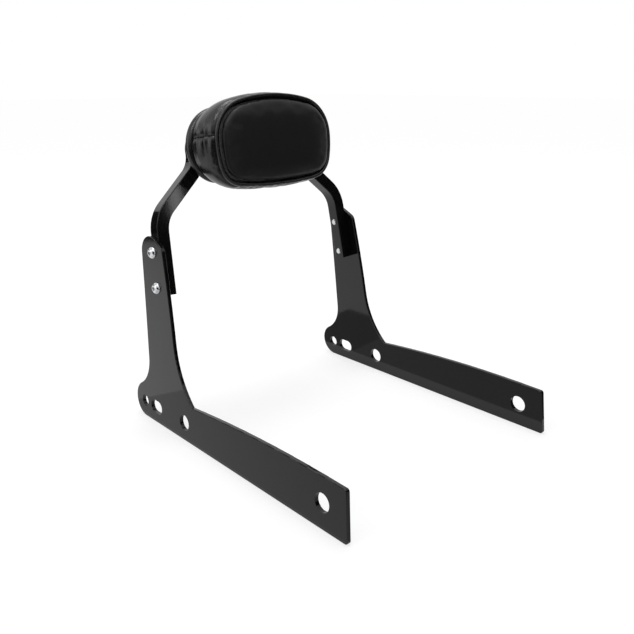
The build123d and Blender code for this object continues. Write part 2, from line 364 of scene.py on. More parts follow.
@dataclass(frozen=True)
class Plated(Finish):
    """Bright or dull plating on a turned fastener.

    Args:
        tint: colour of the metal.
        worn: share of the tint that is left in worn patches.
        patch_scale: worn patches to the metre.
        shine: lowest roughness.
        dull: how much rougher the worn patches are.
        turning: turning marks to the metre.
        mark_depth: depth of the marks in metres.
    """

    tint: Colour = (0.66, 0.67, 0.68, 1.0)
    worn: float = 0.72
    patch_scale: float = 240.0
    shine: float = 0.07
    dull: float = 0.10
    turning: float = 2200.0
    mark_depth: float = 0.000004

    def sockets(self, graph: Graph) -> dict:
        """Metal with fine marks and dulled patches.

        Args:
            graph: the material's graph.

        Returns:
            The main shader's values and links, by socket name.
        """
        patches = graph.noise(self.patch_scale, 3.0)
        marks = graph.noise(self.turning, 1.0)
        dark = tuple(channel * self.worn for channel in self.tint[:3]) + (1.0,)
        return {
            "Base Color": graph.ramp(patches, [(0.32, dark), (0.55, self.tint)]),
            "Metallic": 1.0,
            "Roughness": graph.between(patches * 0.6 + marks * 0.4, self.shine, self.shine + self.dull),
            "Normal": graph.bump(marks, self.mark_depth),
        }


@dataclass(frozen=True)
class Vinyl(Finish):
    """Black upholstery vinyl with a fine embossed leather grain.

    Args:
        tone: grey level of the vinyl.
        grain_scale: grain cells to the metre.
        grain_depth: depth of the valleys between them in metres.
        pore_scale: pores to the metre.
        warp_scale: places to the metre where the grain is drawn aside.
        warp: how far it is drawn aside, in metres.
        wave_scale: broad soft waves to the metre.
        wave_depth: depth of the waves in metres.
        shine: lowest roughness.
        dull: how much rougher the valleys are.
        reflection: strength of the surface's reflection.
    """

    tone: float = 0.004
    grain_scale: float = 760.0
    grain_depth: float = 0.00006
    pore_scale: float = 2400.0
    warp_scale: float = 90.0
    warp: float = 0.004
    wave_scale: float = 70.0
    wave_depth: float = 0.0006
    shine: float = 0.36
    dull: float = 0.20
    reflection: float = 0.28

    def sockets(self, graph: Graph) -> dict:
        """Cells that shine a little more than the valleys between them, over broad soft waves.

        Args:
            graph: the material's graph.

        Returns:
            The main shader's values and links, by socket name.
        """
        wave = graph.noise(self.wave_scale, 2.0)
        drawn = graph.node("ShaderNodeTexNoise", {}, {
            "Vector": graph.place(), "Scale": self.warp_scale, "Detail": 1.0,
        })
        place = graph.node("ShaderNodeVectorMath", {"operation": "MULTIPLY_ADD"}, {
            0: drawn.outputs["Color"], 1: (self.warp,) * 3, 2: graph.place(),
        }).outputs[0]
        cells = graph.cells(self.grain_scale, vector=place)
        pores = graph.noise(self.pore_scale, 2.0)
        grain = graph.between(cells * 4.0, 0.0, 1.0) * 0.8 + pores * 0.2
        soft = graph.bump(wave, self.wave_depth, 0.35)
        return {
            "Base Color": graph.ramp(grain * 0.7 + wave * 0.3,
                                     [(0.25, grey(self.tone * 0.55)), (0.75, grey(self.tone * 1.25))]),
            "Roughness": graph.between(1 - grain * 0.7 - wave * 0.3, self.shine, self.shine + self.dull),
            "Specular IOR Level": self.reflection,
            "Normal": graph.bump(grain, self.grain_depth, 0.6, soft),
        }


@dataclass(frozen=True)
class Cloth(Finish):
    """Woven black lining cloth.

    Args:
        tone: grey level of the yarn.
        weave_scale: scale of the warp's and the weft's waves.
        weave_depth: height of the yarns in metres.
        fluff_scale: tufts of fluff to the metre.
    """

    tone: float = 0.020
    weave_scale: float = 55.0
    weave_depth: float = 0.00025
    fluff_scale: float = 1800.0

    def sockets(self, graph: Graph) -> dict:
        """Warp and weft that pass over each other, with fluff.

        Args:
            graph: the material's graph.

        Returns:
            The main shader's values and links, by socket name.
        """
        uneven = {"Distortion": 0.6, "Detail": 1.0, "Detail Scale": 2.0}
        across = graph.bands("X", self.weave_scale, uneven)
        along = graph.bands("Z", self.weave_scale, uneven)
        weave = across * 0.5 + along * 0.5
        fluff = graph.noise(self.fluff_scale, 3.0)
        return {
            "Base Color": graph.ramp(weave * 0.7 + fluff * 0.3,
                                     [(0.2, grey(self.tone * 0.5)), (0.8, grey(self.tone * 1.6))]),
            "Roughness": graph.between(fluff, 0.80, 0.96),
            "Sheen Weight": 0.25,
            "Sheen Roughness": 0.4,
            "Normal": graph.bump(weave * 0.8 + fluff * 0.2, self.weave_depth, 0.8),
        }


@dataclass(frozen=True)
class Thread(Finish):
    """Bonded black sewing thread with its twist.

    Args:
        twist_scale: scale of the twist's waves.
        twist_depth: depth of the twist in metres.
    """

    twist_scale: float = 420.0
    twist_depth: float = 0.00006

    def sockets(self, graph: Graph) -> dict:
        """Fine twist across the thread.

        Args:
            graph: the material's graph.

        Returns:
            The main shader's values and links, by socket name.
        """
        ply = graph.bands("DIAGONAL", self.twist_scale, {"Distortion": 0.4})
        return {
            "Base Color": graph.ramp(ply, [(0.1, grey(0.008)), (0.9, grey(0.030))]),
            "Roughness": graph.between(ply, 0.50, 0.36),
            "Normal": graph.bump(ply, self.twist_depth, 0.7),
        }


@dataclass(frozen=True)
class Foam(Finish):
    """Open-cell grey foam.

    Args:
        cell_scale: cells to the metre.
        cell_depth: depth of the cells in metres.
        patch_scale: lighter patches to the metre.
    """

    cell_scale: float = 700.0
    cell_depth: float = 0.0006
    patch_scale: float = 60.0

    def sockets(self, graph: Graph) -> dict:
        """Small open cells.

        Args:
            graph: the material's graph.

        Returns:
            The main shader's values and links, by socket name.
        """
        cells = graph.cells(self.cell_scale, "F1")
        broad = graph.noise(self.patch_scale, 2.0)
        return {
            "Base Color": graph.ramp(cells * 0.7 + broad * 0.3, [(0.1, grey(0.07)), (0.8, grey(0.22))]),
            "Roughness": graph.between(broad, 0.88, 1.0),
            "Normal": graph.bump(cells, self.cell_depth, 0.8),
        }


@dataclass(frozen=True)
class Plywood(Finish):
    """Birch plywood with long grain.

    Args:
        grain_scale: grain lines to the metre, across them.
        pore_scale: pores to the metre, across them.
        grain_depth: depth of the grain in metres.
        dark: colour of the late wood.
        middle: colour between.
        light: colour of the early wood.
    """

    grain_scale: float = 90.0
    pore_scale: float = 900.0
    grain_depth: float = 0.0002
    dark: Colour = (0.36, 0.21, 0.10, 1.0)
    middle: Colour = (0.56, 0.38, 0.21, 1.0)
    light: Colour = (0.64, 0.46, 0.28, 1.0)

    def sockets(self, graph: Graph) -> dict:
        """Grain drawn out along the board's width.

        Args:
            graph: the material's graph.

        Returns:
            The main shader's values and links, by socket name.
        """
        grain = graph.noise(self.grain_scale, 5.0, graph.stretched((0.12, 1.0, 1.0)))
        pores = graph.noise(self.pore_scale, 2.0, graph.stretched((0.08, 1.0, 1.0)))
        stops = [(0.30, self.dark), (0.55, self.middle), (0.75, self.light)]
        return {
            "Base Color": graph.ramp(grain * 0.75 + pores * 0.25, stops),
            "Roughness": graph.between(pores, 0.55, 0.75),
            "Normal": graph.bump(grain * 0.5 + pores * 0.5, self.grain_depth, 0.6),
        }


GLOSS_BLACK = GlossPaint("gloss_black_powder_coat", Slot.STEEL)
BRIGHT_CHROME = Plated("bright_chrome", Slot.CHROME)
BLACK_OXIDE = Plated("black_oxide", Slot.SCREW, tint=(0.035, 0.035, 0.038, 1.0), shine=0.32, dull=0.2)
ZINC = Plated("zinc_plate", Slot.ZINC, tint=(0.52, 0.53, 0.54, 1.0), shine=0.26, dull=0.22)
PANEL_VINYL = Vinyl("panel_vinyl", Slot.VINYL)
BAND_VINYL = Vinyl("band_vinyl", Slot.VINYL, tone=0.005, shine=0.17, reflection=0.50)
LINING = Cloth("lining_cloth", Slot.CLOTH)
THREAD = Thread("sewing_thread", Slot.VINYL)
FOAM = Foam("open_cell_foam", Slot.FOAM)
PLYWOOD = Plywood("birch_plywood", Slot.PLYWOOD)


def dress(piece: bpy.types.Object, finish: Finish) -> None:
    """Gives a piece one finish all over.

    Args:
        piece: the mesh object.
        finish: its finish.
    """
    piece.data.materials.clear()
    piece.data.materials.append(finish.material())


def vertices_of(piece: bpy.types.Object) -> np.ndarray:
    """Reads a mesh's vertices.

    Args:
        piece: the mesh object.

    Returns:
        Their places, one row each.
    """
    places = np.empty(len(piece.data.vertices) * 3, np.float32)
    piece.data.vertices.foreach_get("co", places)
    return places.reshape(-1, 3).astype(float)


def set_vertices(piece: bpy.types.Object, places: np.ndarray) -> None:
    """Moves a mesh's vertices to these places."""
    piece.data.vertices.foreach_set("co", places.astype(np.float32).ravel())
    piece.data.update()


def new_mesh(name: str, points: np.ndarray, faces: list[tuple],
             edges: list[tuple] | None = None) -> bpy.types.Object:
    """Makes a mesh object at the origin.

    Args:
        name: the piece's name.
        points: its vertices.
        faces: its faces, as vertex numbers.
        edges: its edges, for a mesh with no faces.

    Returns:
        The object, linked to the scene.
    """
    mesh = bpy.data.meshes.new(name)
    mesh.from_pydata([tuple(point) for point in points], edges or [], [tuple(face) for face in faces])
    mesh.update()
    piece = bpy.data.objects.new(name, mesh)
    bpy.context.scene.collection.objects.link(piece)
    return piece


def rectangle(name: str, size: tuple[float, float]) -> bpy.types.Object:
    """Makes a flat rectangle round the origin.

    Args:
        name: the piece's name.
        size: its two sides.

    Returns:
        The object.
    """
    half_x, half_y = size[0] / 2, size[1] / 2
    corners = [(-half_x, -half_y, 0), (half_x, -half_y, 0), (half_x, half_y, 0), (-half_x, half_y, 0)]
    return new_mesh(name, np.array(corners), [(0, 1, 2, 3)])


def bake(piece: bpy.types.Object) -> bpy.types.Object:
    """Turns a piece with modifiers into a plain mesh.

    Args:
        piece: the piece.

    Returns:
        The same object, with its modifiers' result as its own mesh.
    """
    bpy.context.view_layer.update()
    evaluated = piece.evaluated_get(bpy.context.evaluated_depsgraph_get())
    result = bpy.data.meshes.new_from_object(evaluated)
    piece.modifiers.clear()
    piece.data = result
    piece.data.name = piece.name
    return piece


def add_subdivision(piece: bpy.types.Object) -> None:
    """Adds one level of subdivision, the same in the view and the render."""
    subdivide = piece.modifiers.new("round", "SUBSURF")
    subdivide.levels = subdivide.render_levels = 1


def add_remesh(piece: bpy.types.Object, voxel: float) -> None:
    """Merges a closed piece's doubles and gives it even faces.

    Args:
        piece: the piece.
        voxel: size of the faces.
    """
    weld = piece.modifiers.new("merge", "WELD")
    weld.merge_threshold = 0.00001
    remesh = piece.modifiers.new("even", "REMESH")
    remesh.mode = "VOXEL"
    remesh.voxel_size = voxel


@dataclass
class Quarter:
    """Quarter of an outline in the pad's plane: bowed side, round corner, bowed top.

    Args:
        half_width: from the middle to the side.
        half_height: from the middle to the top.
        corner_radius: radius of the corner.
        top_bow: rise of the top over its corner.
        side_bow: the same for the side.
    """

    half_width: float
    half_height: float
    corner_radius: float
    top_bow: float
    side_bow: float

    def __post_init__(self) -> None:
        """Works out the three arcs, each as centre, radius, first and last angle."""
        corner_x = self.half_width - self.side_bow
        corner_y = self.half_height - self.top_bow
        top_radius = (corner_x ** 2 + self.top_bow ** 2) / (2 * self.top_bow)
        side_radius = (corner_y ** 2 + self.side_bow ** 2) / (2 * self.side_bow)
        top_centre = np.array([0.0, self.half_height - top_radius])
        side_centre = np.array([self.half_width - side_radius, 0.0])
        centre = self._corner_centre(top_centre, top_radius, side_centre, side_radius)
        side_end = math.atan2(*(centre - side_centre)[::-1])
        corner_end = math.atan2(*(centre - top_centre)[::-1])
        self.arcs = [
            (side_centre, side_radius, 0.0, side_end),
            (centre, self.corner_radius, side_end, corner_end),
            (top_centre, top_radius, corner_end, math.pi / 2),
        ]
        self.length = sum(radius * (end - start) for _, radius, start, end in self.arcs)

    def _corner_centre(self, top_centre: np.ndarray, top_radius: float,
                       side_centre: np.ndarray, side_radius: float) -> np.ndarray:
        """Finds the corner's circle, which touches both bowed sides from inside.

        Args:
            top_centre: centre of the top's arc.
            top_radius: its radius.
            side_centre: centre of the side's arc.
            side_radius: its radius.

        Returns:
            The circle's centre.
        """
        reach_top = top_radius - self.corner_radius
        reach_side = side_radius - self.corner_radius
        gap = side_centre - top_centre
        distance = float(np.hypot(*gap))
        along = (reach_top ** 2 - reach_side ** 2 + distance ** 2) / (2 * distance)
        off = math.sqrt(reach_top ** 2 - along ** 2)
        unit = gap / distance
        left = np.array([-unit[1], unit[0]])
        options = [top_centre + unit * along + left * off, top_centre + unit * along - left * off]
        return max(options, key=lambda point: point.sum())

    def at(self, share: np.ndarray) -> tuple[np.ndarray, np.ndarray]:
        """Reads the quarter.

        Args:
            share: places as shares of its length, from the side's middle.

        Returns:
            The points and their outward normals, one row for each place.
        """
        tiny = 1e-12
        distance = np.clip(share, 0.0, 1.0) * self.length
        points = np.zeros((len(distance), 2))
        normals = np.zeros((len(distance), 2))
        start = 0.0
        for centre, radius, first, last in self.arcs:
            length = radius * (last - first)
            inside = (distance >= start - tiny) & (distance <= start + length + tiny)
            angle = first + (distance[inside] - start) / radius
            normals[inside] = np.column_stack([np.cos(angle), np.sin(angle)])
            points[inside] = centre + radius * normals[inside]
            start += length
        return points, normals


@dataclass
class Loaf:
    """Whole outline: the same on both sides, with a lower half that may differ from the upper one.

    Args:
        upper: quarter over the middle.
        lower: quarter under the middle, turned over.
    """

    upper: Quarter
    lower: Quarter

    def __post_init__(self) -> None:
        """Works out the length all round."""
        quarters = (self.upper, self.upper, self.lower, self.lower)
        self.marks = np.cumsum([0.0] + [quarter.length for quarter in quarters])
        self.perimeter = float(self.marks[-1])

    def distance(self, turns: np.ndarray) -> np.ndarray:
        """Distance along the outline from the middle of the +X side, upwards, at these quarter turns."""
        return np.interp(turns, np.arange(5), self.marks)

    def at(self, turns: np.ndarray) -> tuple[np.ndarray, np.ndarray]:
        """Points and outward normals all round.

        Args:
            turns: places in quarter turns, from the middle of the +X side, upwards.

        Returns:
            One row for each place.
        """
        wrapped = np.mod(turns, 4.0)
        turn = np.minimum(wrapped.astype(int), 3)
        share = np.where(turn % 2 == 1, 1 - (wrapped - turn), wrapped - turn)
        over = (turn < 2)[:, None]
        high, low = self.upper.at(share), self.lower.at(share)
        signs = np.column_stack([np.where((turn == 1) | (turn == 2), -1, 1), np.where(turn >= 2, -1, 1)])
        return np.where(over, high[0], low[0]) * signs, np.where(over, high[1], low[1]) * signs


@dataclass(frozen=True)
class OutlineFit:
    """How a quarter of the pad's outline in the photograph departs from the CAD border roll.

    Args:
        wider: by how much its half width is larger than the roll's.
        taller: the same for its half height.
        corner_radius: radius of its corner.
        top_bow: rise of its top over the corner.
        side_bow: the same for its side.
    """

    wider: float
    taller: float
    corner_radius: float
    top_bow: float
    side_bow: float

    def quarter(self, half_width: float, half_height: float) -> Quarter:
        """The quarter of the outline, for a roll of this size."""
        wide, tall = half_width + self.wider, half_height + self.taller
        return Quarter(wide, tall, self.corner_radius, self.top_bow, self.side_bow)


FRONT_FITS = (OutlineFit(-0.0028, 0.0022, 0.0440, 0.0132, 0.0088),
              OutlineFit(-0.0028, 0.0048, 0.0285, 0.0060, 0.0088))
REAR_FITS = (OutlineFit(0.0040, -0.0028, 0.0430, 0.0125, 0.0099),
             OutlineFit(0.0040, -0.0040, 0.0350, 0.0105, 0.0099))


@dataclass
class PadFrame:
    """The pad's own frame: across, up along the pad and forward out of it.

    Args:
        origin: the oval's middle, on the hoop's front face.
        forward: out of the pad's front.
        across: to the rider's left.
    """

    origin: np.ndarray
    forward: np.ndarray
    across: np.ndarray = field(default_factory=lambda: np.array([1.0, 0.0, 0.0]))

    def __post_init__(self) -> None:
        """Works out the third direction."""
        self.up = np.cross(self.forward, self.across)

    @classmethod
    def from_cover(cls, cover: bpy.types.Object) -> "PadFrame":
        """Reads the pad's place and lean from its flat rear cover.

        Args:
            cover: the cover's CAD node.

        Returns:
            The frame.
        """
        flat = max(cover.data.polygons, key=lambda polygon: polygon.area)
        forward = np.array(flat.normal)
        forward = -forward * np.sign(forward[1])
        made = cls(np.zeros(3), forward / np.linalg.norm(forward))
        local = made.local(vertices_of(cover))
        middle = (local.max(0) + local.min(0)) / 2
        made.origin = made.world(np.array([[0.0, middle[1], local[:, 2].min()]]))[0]
        return made

    def local(self, places: np.ndarray) -> np.ndarray:
        """Places in the pad's frame: across, up, forward."""
        return (places - self.origin) @ np.column_stack([self.across, self.up, self.forward])

    def world(self, local: np.ndarray) -> np.ndarray:
        """Places of points given in the pad's frame."""
        return self.origin + local @ np.vstack([self.across, self.up, self.forward])


@dataclass
class Stuffing:
    """Short cloth simulation that makes a piece swell, and lets its cloth pucker.

    Args:
        pressure: pressure inside.
        growth: share by which the cloth is larger than its place.
        stiffness: of the cloth against stretch.
        shear: share of that stiffness against shear.
        bending: of the cloth against folding.
        mass: of the cloth.
        hold: strength of the hold on its seams.
        cap: the furthest that a point may move, in metres.
        quality: steps in each frame.
        frames: length of the simulation.
    """

    pressure: float = 3.0
    growth: float = 0.0
    stiffness: float = 15.0
    shear: float = 1 / 3
    bending: float = 0.5
    mass: float = 0.3
    hold: float = 5.0
    cap: float = 0.0012
    quality: int = 6
    frames: int = 20

    def run(self, piece: bpy.types.Object, pinned: np.ndarray) -> None:
        """Simulates the piece and keeps the result in its mesh.

        Args:
            piece: the mesh object.
            pinned: hold on each vertex, from 0, free, to 1, fixed.
        """
        before = vertices_of(piece)
        group = piece.vertex_groups.new(name="held")
        for number, weight in enumerate(pinned):
            if weight > 0:
                group.add([number], float(weight), "REPLACE")
        cloth = self.cloth(piece, group.name)
        scene = bpy.context.scene
        for number in range(1, self.frames + 1):
            scene.frame_set(number)
        evaluated = piece.evaluated_get(bpy.context.evaluated_depsgraph_get())
        after = vertices_of(evaluated)
        piece.modifiers.remove(cloth)
        piece.vertex_groups.clear()
        scene.frame_set(1)
        set_vertices(piece, before + self.capped(piece.name, after - before))

    def cloth(self, piece: bpy.types.Object, group: str) -> bpy.types.Modifier:
        """Adds the cloth simulation.

        Args:
            piece: the mesh object.
            group: name of the vertex group that is held.

        Returns:
            The modifier.
        """
        cloth = piece.modifiers.new("stuffing", "CLOTH")
        settings = cloth.settings
        settings.quality = self.quality
        settings.mass = self.mass
        settings.tension_stiffness = self.stiffness
        settings.compression_stiffness = self.stiffness
        settings.shear_stiffness = self.stiffness * self.shear
        settings.bending_stiffness = self.bending
        settings.use_pressure = True
        settings.uniform_pressure_force = self.pressure
        settings.shrink_min = -self.growth
        settings.effector_weights.gravity = 0.0
        settings.vertex_group_mass = group
        settings.pin_stiffness = self.hold
        cloth.collision_settings.use_collision = False
        cloth.point_cache.frame_start = 1
        cloth.point_cache.frame_end = self.frames
        return cloth

    def capped(self, name: str, move: np.ndarray) -> np.ndarray:
        """Keeps the moves within the cap.

        Args:
            name: the piece's name, for the log.
            move: the move of each vertex.

        Returns:
            The moves, the long ones shortened smoothly.
        """
        tiny = 1e-9
        length = np.linalg.norm(move, axis=1, keepdims=True)
        limited = self.cap * np.tanh(length / self.cap)
        LOG.info("stuffed %s: mean move %.2f mm, largest %.2f mm", name,
                 1000 * float(length.mean()), 1000 * float(length.max()))
        return move * np.where(length > tiny, limited / np.maximum(length, tiny), 0.0)


def bezier(points: list[tuple[float, float]], count: int) -> np.ndarray:
    """Evenly spaced points along a cubic curve.

    Args:
        points: its four control points.
        count: number of points, both ends among them.

    Returns:
        One row for each point.
    """
    fine = np.linspace(0.0, 1.0, 400)[:, None]
    control = np.array(points, float)
    curve = ((1 - fine) ** 3 * control[0] + 3 * (1 - fine) ** 2 * fine * control[1]
             + 3 * (1 - fine) * fine ** 2 * control[2] + fine ** 3 * control[3])
    lengths = np.concatenate([[0.0], np.cumsum(np.linalg.norm(np.diff(curve, axis=0), axis=1))])
    even = np.linspace(0.0, lengths[-1], count)
    return np.column_stack([np.interp(even, lengths, curve[:, axis]) for axis in range(2)])


def band_faces(rows: int, columns: int, wide: int) -> list[tuple[int, int, int, int]]:
    """Faces between rows of points.

    Args:
        rows: number of rows.
        columns: points in a row.
        wide: faces in a row, which closes on itself if they are as many as its points.

    Returns:
        The corners of each face.
    """
    return [
        (row * columns + column, row * columns + (column + 1) % columns,
         (row + 1) * columns + (column + 1) % columns, (row + 1) * columns + column)
        for row in range(rows - 1) for column in range(wide)
    ]


@dataclass
class PadShape:
    """The pad's form: its rear and front outlines, and all the outlines between them.

    Depths run forward from the hoop's front face.

    Args:
        pad: the pad's frame.
        rear: outline of the seam between the rear roll and the band.
        front: outline of the seam between the band and the border roll.
        front_seam: depth of the front seam at the pad's middle.
        rear_seam: depth of the rear seam.
        slope: how far the front seam lies forward for each metre up.
    """

    pad: PadFrame
    rear: Loaf
    front: Loaf
    front_seam: float
    rear_seam: float = 0.0130
    slope: float = 0.09

    def ring(self, turns: np.ndarray, depth: float, grow: np.ndarray | float,
             shrink: float = 1.0) -> np.ndarray:
        """Places round the pad.

        Args:
            turns: places in quarter turns.
            depth: distance forward, at the pad's middle.
            grow: distance outside the outline.
            shrink: scale towards the middle.

        Returns:
            One row for each place.
        """
        share = float(np.clip((depth - self.rear_seam) / (self.front_seam - self.rear_seam), 0.0, 1.0))
        front, front_normal = self.front.at(turns)
        rear, rear_normal = self.rear.at(turns)
        flat = rear * (1 - share) + front * share
        normal = rear_normal * (1 - share) + front_normal * share
        normal /= np.linalg.norm(normal, axis=1, keepdims=True)
        flat = (flat + normal * np.broadcast_to(grow, len(turns))[:, None]) * shrink
        tilt = self.slope * min(depth / self.front_seam, 1.0)
        return self.pad.world(np.column_stack([flat, depth + tilt * flat[:, 1]]))

    def closed(self, name: str, rings: list[Ring], step: float) -> bpy.types.Object:
        """Closed form through rings given as (depth, grow, shrink).

        Args:
            name: the piece's name.
            rings: from the rear to the front.
            step: distance between its points round the pad.

        Returns:
            The piece, with a flat face at each end.
        """
        columns = round(self.front.perimeter / step)
        turns = np.linspace(0.0, 4.0, columns, endpoint=False)
        places = np.vstack([self.ring(turns, *ring) for ring in rings])
        last = (len(rings) - 1) * columns
        faces = band_faces(len(rings), columns, columns)
        faces += [tuple(range(columns))[::-1], tuple(range(last, last + columns))]
        return new_mesh(name, places, faces)


@dataclass
class Cover:
    """The pad's sewn side cover: rear roll, gathered side band in two halves and border roll.

    It is one tube of cloth while it is simulated, held at its seams, and is cut into its pieces afterwards.
    A point of its section is (depth, growth over the outline), and the pulls are the inner control points
    of the section's curves.

    Args:
        shape: the pad's form.
        seam_lift: height of the side seams over the pad's middle.
        seam_dip: depth of the seams in the stuffed cover.
        bulge: reach of the band's curve outwards.
        band_pull: distance of the band's pulls from its seams.
        roll_width: from the front seam in to the groove round the panel.
        roll_end: how far the border roll's inner edge lies ahead of the front seam.
        roll_pulls: pulls of the border roll, ahead of the front seam.
        rear_inset: how far the cover's rear edge lies inside its rear seam.
        rear_edge: depth of the cover's rear edge.
        rear_pulls: pulls of the rear roll.
        roll_rows: rows of points across a roll.
        band_rows: rows of points across the band.
        skin: thickness of the vinyl.
        step: distance between the tube's columns.
        pinch: depth of the narrow valley along the side seams.
        pinch_reach: half its width.
        pucker_pitch: distance between the folds at the side seams.
        pucker_depth: depth of the folds.
        pucker_shares: the folds' waves, as shares of the pitch's.
        pucker_drift: how much the waves slant, at most, in turns of phase to the metre.
        reach_over: how far the folds run up from the side seams.
        reach_under: how far they run down.
        reach_fall: how sharply they end there.
        fade: distance from the rear and front seams over which the folds die out.
    """

    shape: PadShape
    seam_lift: float = 0.0082
    seam_dip: float = 0.0012
    bulge: float = 0.0080
    band_pull: float = 0.0024
    roll_width: float = 0.0052
    roll_end: float = 0.0022
    roll_pulls: tuple[tuple[float, float], ...] = ((0.0030, 0.0032), (0.0100, -0.0015))
    rear_inset: float = 0.0124
    rear_edge: float = 0.0004
    rear_pulls: tuple[tuple[float, float], ...] = ((-0.0010, 0.0060), (0.0090, 0.0085))
    roll_rows: int = 14
    band_rows: int = 26
    skin: float = 0.0011
    step: float = 0.0021
    pinch: float = 0.0019
    pinch_reach: float = 0.0022
    pucker_pitch: float = 0.0095
    pucker_depth: float = 0.0014
    pucker_shares: tuple[float, ...] = (1.0, 0.62, 1.45)
    pucker_drift: float = 14.0
    reach_over: float = 0.011
    reach_under: float = 0.020
    reach_fall: float = 1.5
    fade: float = 0.004

    def __post_init__(self) -> None:
        """Lays out the columns round the pad and the rows across the cover."""
        front = self.shape.front
        seam_share = self.seam_lift / front.upper.length
        self.seams = (seam_share, 2 - seam_share)
        marks = front.distance(np.array(self.seams))
        over = float(marks[1] - marks[0])
        self.upper_columns = round(over / self.step)
        lower_columns = round((front.perimeter - over) / self.step)
        upper = np.linspace(*self.seams, self.upper_columns, endpoint=False)
        lower = np.linspace(self.seams[1], self.seams[0] + 4, lower_columns, endpoint=False)
        self.turns = np.mod(np.concatenate([upper, lower]), 4.0)
        self.columns = len(self.turns)
        self.profile = self.section()
        self.rear_row = self.roll_rows - 1
        self.front_row = self.rear_row + self.band_rows - 1
        self.rows = len(self.profile)

    def section(self) -> np.ndarray:
        """The cover's section, from its rear edge over the seams to the groove round the panel.

        Returns:
            Depth and growth of each row.
        """
        rear_seam = (self.shape.rear_seam, -self.seam_dip)
        front_seam = (self.shape.front_seam, -self.seam_dip)
        start, end = rear_seam[0], front_seam[0]
        rear = bezier([(self.rear_edge, -self.rear_inset), *self.rear_pulls, rear_seam], self.roll_rows)
        band = bezier([rear_seam, (start + self.band_pull, self.bulge), (end - self.band_pull, self.bulge),
                       front_seam], self.band_rows)
        pulls = [(end + depth, growth) for depth, growth in self.roll_pulls]
        roll = bezier([front_seam, *pulls, (end + self.roll_end, -self.roll_width)], self.roll_rows)
        return np.vstack([rear, band[1:], roll[1:]])

    def seam_gap(self) -> np.ndarray:
        """Measures each column's distance from the nearer side seam.

        Returns:
            The distances, negative under the seams.
        """
        front = self.shape.front
        over = front.distance(self.turns)
        right, left = front.distance(np.array(self.seams))
        upper = np.minimum(over - right, left - over)
        lower = np.minimum(over - left, right + front.perimeter - over)
        lower = np.where(over < right, right - over, lower)
        return np.where(upper >= 0, upper, -lower)

    def puckers(self, rng: np.random.Generator) -> np.ndarray:
        """Folds of the band across the side seams.

        Args:
            rng: source of the waves' phases and slants.

        Returns:
            Their height, one value for each row and column.
        """
        depth = self.profile[:, 0][:, None]
        gap = self.seam_gap()[None, :]
        side = np.where((self.turns > 1) & (self.turns < 3), -1, 1)[None, :]
        reach = np.where(gap >= 0, self.reach_over, self.reach_under)
        near = np.exp(-(np.abs(gap) / reach) ** self.reach_fall)
        start, end = self.shape.rear_seam, self.shape.front_seam
        inside = np.clip((depth - start) / self.fade, 0, 1) * np.clip((end - depth) / self.fade, 0, 1)
        wave = np.zeros((self.rows, self.columns))
        for share in self.pucker_shares:
            phase = rng.uniform(0, 2 * math.pi, 2)
            drift = rng.uniform(-self.pucker_drift, self.pucker_drift)
            turn = np.where(side > 0, phase[0], phase[1])
            angle = 2 * math.pi * share * depth / self.pucker_pitch + turn + drift * gap
            wave += np.cos(angle) / (1 + share)
        return self.pucker_depth * wave * near * inside

    def build(self) -> bpy.types.Object:
        """Makes the whole cover as one open tube, before its simulation.

        Returns:
            The tube.
        """
        grow = self.profile[:, 1][:, None] + self.puckers(np.random.default_rng(SEED))
        valley = self.pinch * np.exp(-(self.seam_gap() / self.pinch_reach) ** 2)[None, :]
        band = np.zeros((self.rows, 1))
        band[self.rear_row + 1:self.front_row] = 1.0
        grow = grow - valley * band
        places = np.vstack([self.shape.ring(self.turns, depth, grow[row])
                            for row, depth in enumerate(self.profile[:, 0])])
        return new_mesh("pad_cover", places, band_faces(self.rows, self.columns, self.columns))

    def held(self) -> np.ndarray:
        """Hold on the tube: its seams and edges are fixed, and the cloth between them is free.

        Returns:
            One value for each vertex.
        """
        hold = np.zeros((self.rows, self.columns))
        hold[[0, self.rear_row, self.front_row, self.rows - 1]] = 1.0
        hold[self.rear_row:self.front_row, [0, self.upper_columns]] = 1.0
        return hold.ravel()

    def cut(self, cover: bpy.types.Object, name: str, rows: tuple[int, int],
            columns: tuple[int, int] | None) -> bpy.types.Object:
        """Cuts one piece out of the simulated tube and gives it the vinyl's thickness.

        Args:
            cover: the tube.
            name: the piece's name.
            rows: its first and last row.
            columns: its first and last column, or None for all the way round.

        Returns:
            The piece, closed.
        """
        grid = self.grid(cover)[rows[0]:rows[1] + 1]
        if columns is not None:
            grid = grid[:, [column % self.columns for column in range(columns[0], columns[1] + 1)]]
        height, width = grid.shape[:2]
        wide = width if columns is None else width - 1
        piece = new_mesh(name, grid.reshape(-1, 3), band_faces(height, width, wide))
        shell = piece.modifiers.new("thickness", "SOLIDIFY")
        shell.thickness = self.skin
        shell.offset = -1.0
        add_subdivision(piece)
        bake(piece)
        piece.data.shade_smooth()
        return piece

    def grid(self, cover: bpy.types.Object) -> np.ndarray:
        """Places of the tube's vertices by row and column."""
        return vertices_of(cover).reshape(self.rows, self.columns, 3)

    def seam_lines(self, cover: bpy.types.Object) -> list[tuple[np.ndarray, bool]]:
        """The cover's four seams.

        Args:
            cover: the tube.

        Returns:
            Places along each seam, and whether it is closed.
        """
        grid = self.grid(cover)
        band = grid[self.rear_row:self.front_row + 1]
        return [(grid[self.rear_row], True), (grid[self.front_row], True),
                (band[:, 0], False), (band[:, self.upper_columns], False)]


